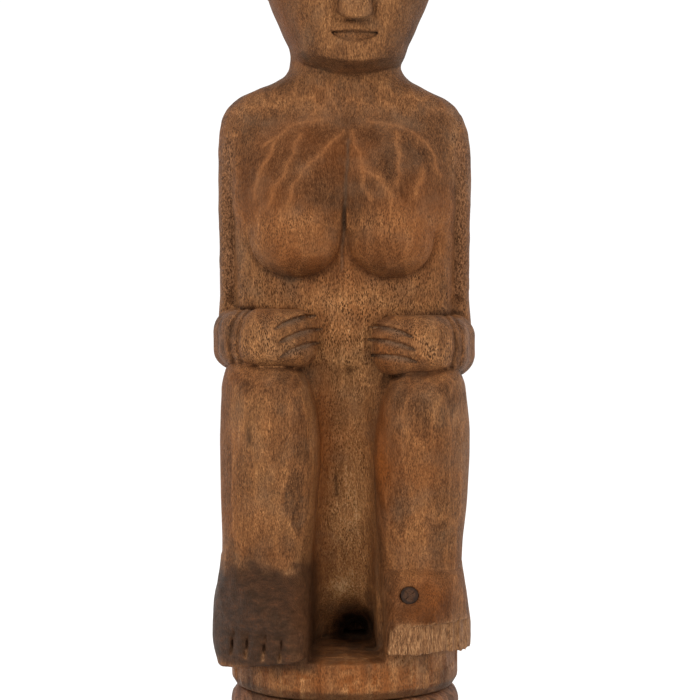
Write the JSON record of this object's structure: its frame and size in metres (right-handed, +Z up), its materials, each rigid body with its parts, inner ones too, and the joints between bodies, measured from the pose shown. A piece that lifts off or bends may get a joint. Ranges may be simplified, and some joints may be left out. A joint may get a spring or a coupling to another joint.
{
  "type": "fertility doll",
  "caption": "Seated carved wooden fertility doll with hands on its knees, on a round drum, ring and plinth, to stand on a shelf or floor.",
  "frame": {"origin": "centre of the felt's underside, where the doll stands", "axes": "+Z up to the crown, the doll faces -Y, +X is the doll's left"},
  "size_m": [0.1556, 0.155, 0.545],
  "materials": {
    "carved_wood": "tool-cut tropical hardwood, stained and rubbed, satin",
    "pedestal_wood": "turned hardwood, darkened with age, satin",
    "dowel_wood": "plain hardwood dowel",
    "screw_steel": "dull zinc-plated steel",
    "felt": "wool felt",
    "knot_wood": "dark knot, matt"
  },
  "bodies": {
    "root": {"carved_figure": "carved_wood", "pedestal_ring": "pedestal_wood", "pedestal_plinth": "pedestal_wood", "centre_dowel": "dowel_wood", "locating_pegs": "dowel_wood", "base_screws": "screw_steel", "felt_disc": "felt", "instep_plug": "knot_wood"}
  },
  "joints": []
}
